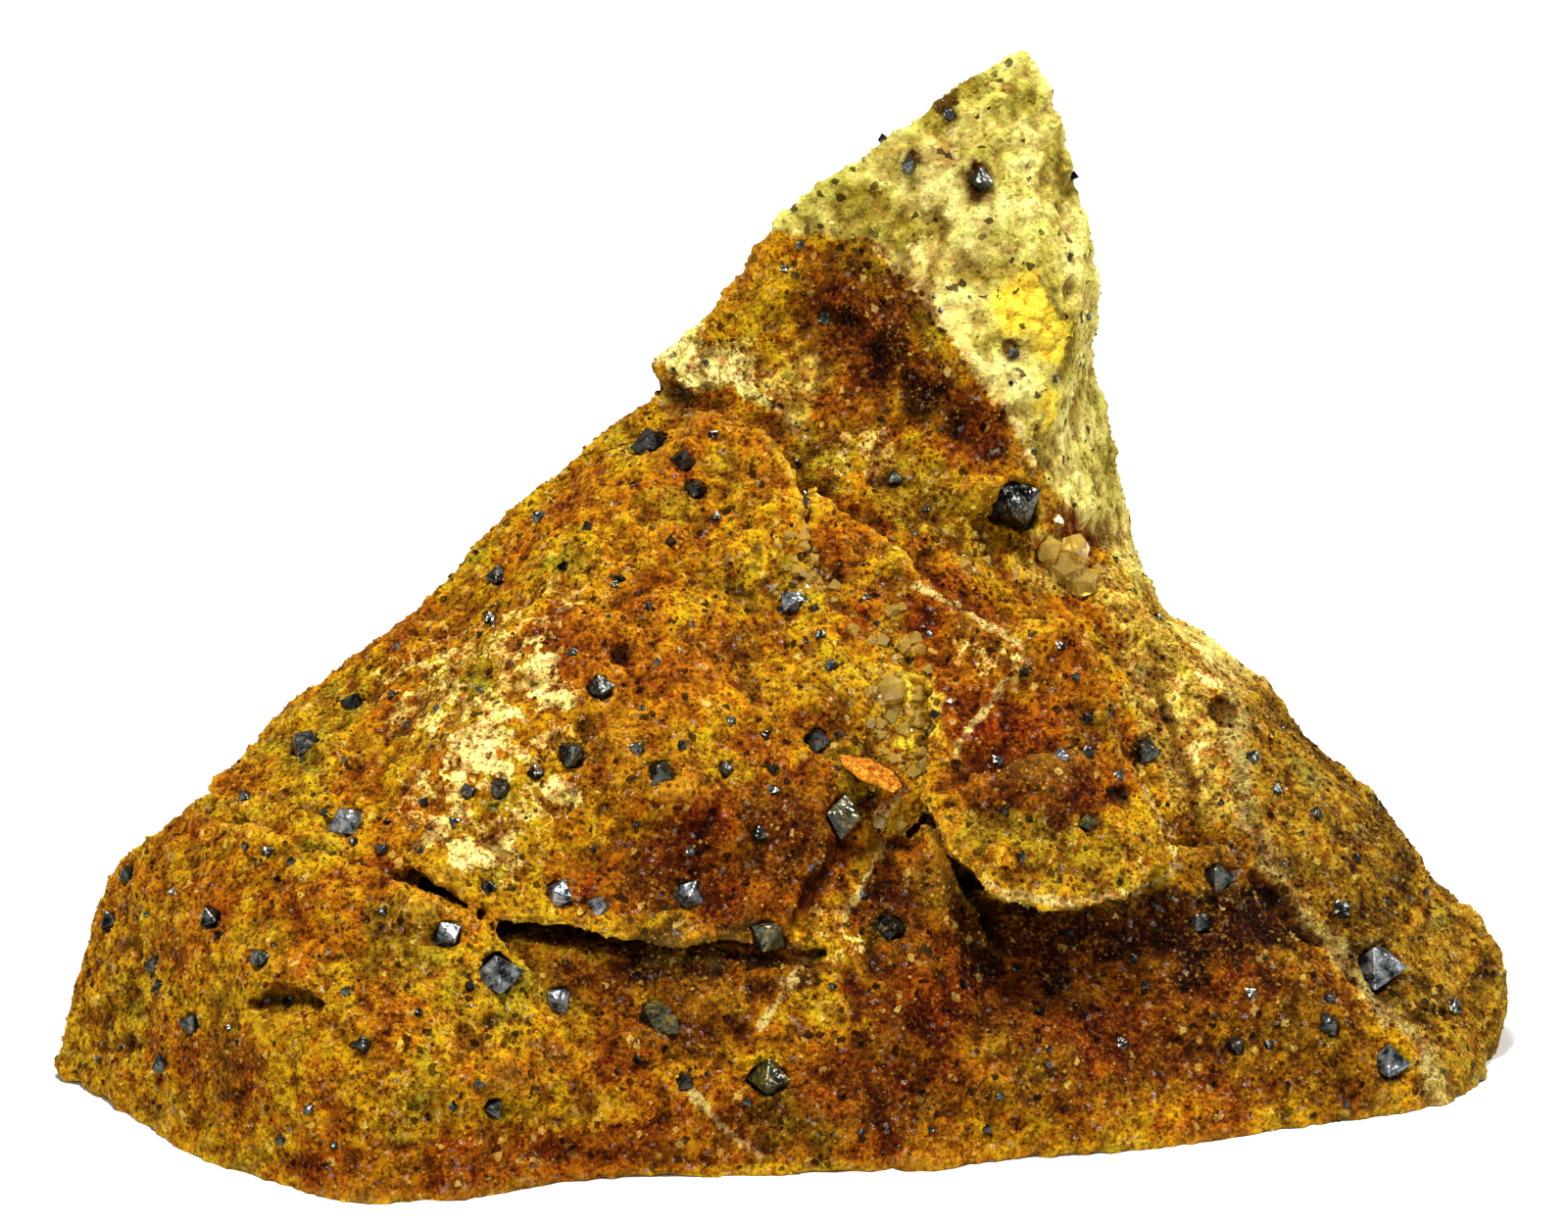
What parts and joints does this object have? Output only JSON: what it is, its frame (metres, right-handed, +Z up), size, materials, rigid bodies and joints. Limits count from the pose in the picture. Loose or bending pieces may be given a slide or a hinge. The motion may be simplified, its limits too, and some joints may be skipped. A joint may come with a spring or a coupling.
{
  "type": "magnetite specimen",
  "caption": "Magnetite specimen: small dark octahedral crystals seated in a rust-brown, ochre and cream host rock.",
  "frame": {"origin": "on the floor, under the middle of the rock's box", "axes": "+X to the right along the longest side, +Y to the back, +Z up from the flat base"},
  "size_m": [0.0478, 0.0298, 0.032],
  "materials": {
    "host_rock": "rough, earthy, rust-stained",
    "magnetite": "dark, submetallic crystal faces",
    "quartz": "glassy, honey-coloured grains"
  },
  "bodies": {
    "root": {"host_rock": "host_rock", "magnetite_crystal_01": "magnetite", "magnetite_crystal_02": "magnetite", "magnetite_crystal_03": "magnetite", "magnetite_crystal_04": "magnetite", "magnetite_crystal_05": "magnetite", "magnetite_crystal_06": "magnetite", "magnetite_crystal_07": "magnetite", "magnetite_crystal_08": "magnetite", "magnetite_crystal_09": "magnetite", "magnetite_crystal_10": "magnetite", "magnetite_crystal_11": "magnetite", "magnetite_crystal_12": "magnetite", "magnetite_crystal_13": "magnetite", "magnetite_crystal_14": "magnetite", "magnetite_crystal_15": "magnetite", "magnetite_crystal_16": "magnetite", "magnetite_crystal_17": "magnetite", "magnetite_crystal_18": "magnetite", "magnetite_crystal_19": "magnetite", "magnetite_crystal_20": "magnetite", "magnetite_crystal_21": "magnetite", "magnetite_crystal_22": "magnetite", "magnetite_crystal_23": "magnetite", "magnetite_crystal_24": "magnetite", "magnetite_crystal_25": "magnetite", "magnetite_crystal_26": "magnetite", "magnetite_crystal_27": "magnetite", "magnetite_crystal_28": "magnetite", "magnetite_crystal_29": "magnetite", "magnetite_crystal_30": "magnetite", "magnetite_crystal_31": "magnetite", "magnetite_crystal_32": "magnetite", "magnetite_crystal_33": "magnetite", "magnetite_crystal_34": "magnetite", "magnetite_crystal_35": "magnetite", "magnetite_crystal_36": "magnetite", "magnetite_crystal_37": "magnetite", "magnetite_crystal_38": "magnetite", "magnetite_crystal_39": "magnetite", "magnetite_crystal_40": "magnetite", "magnetite_crystal_41": "magnetite", "magnetite_crystal_42": "magnetite", "magnetite_crystal_43": "magnetite", "magnetite_crystal_44": "magnetite", "magnetite_crystal_45": "magnetite", "magnetite_crystal_46": "magnetite", "magnetite_crystal_47": "magnetite", "magnetite_crystal_48": "magnetite", "magnetite_crystal_49": "magnetite", "magnetite_crystal_50": "magnetite", "magnetite_crystal_51": "magnetite", "magnetite_crystal_52": "magnetite", "magnetite_crystal_53": "magnetite", "magnetite_crystal_54": "magnetite", "magnetite_crystal_55": "magnetite", "magnetite_crystal_56": "magnetite", "magnetite_crystal_57": "magnetite", "quartz_patch_left": "quartz", "quartz_patch_top": "quartz"}
  },
  "joints": []
}
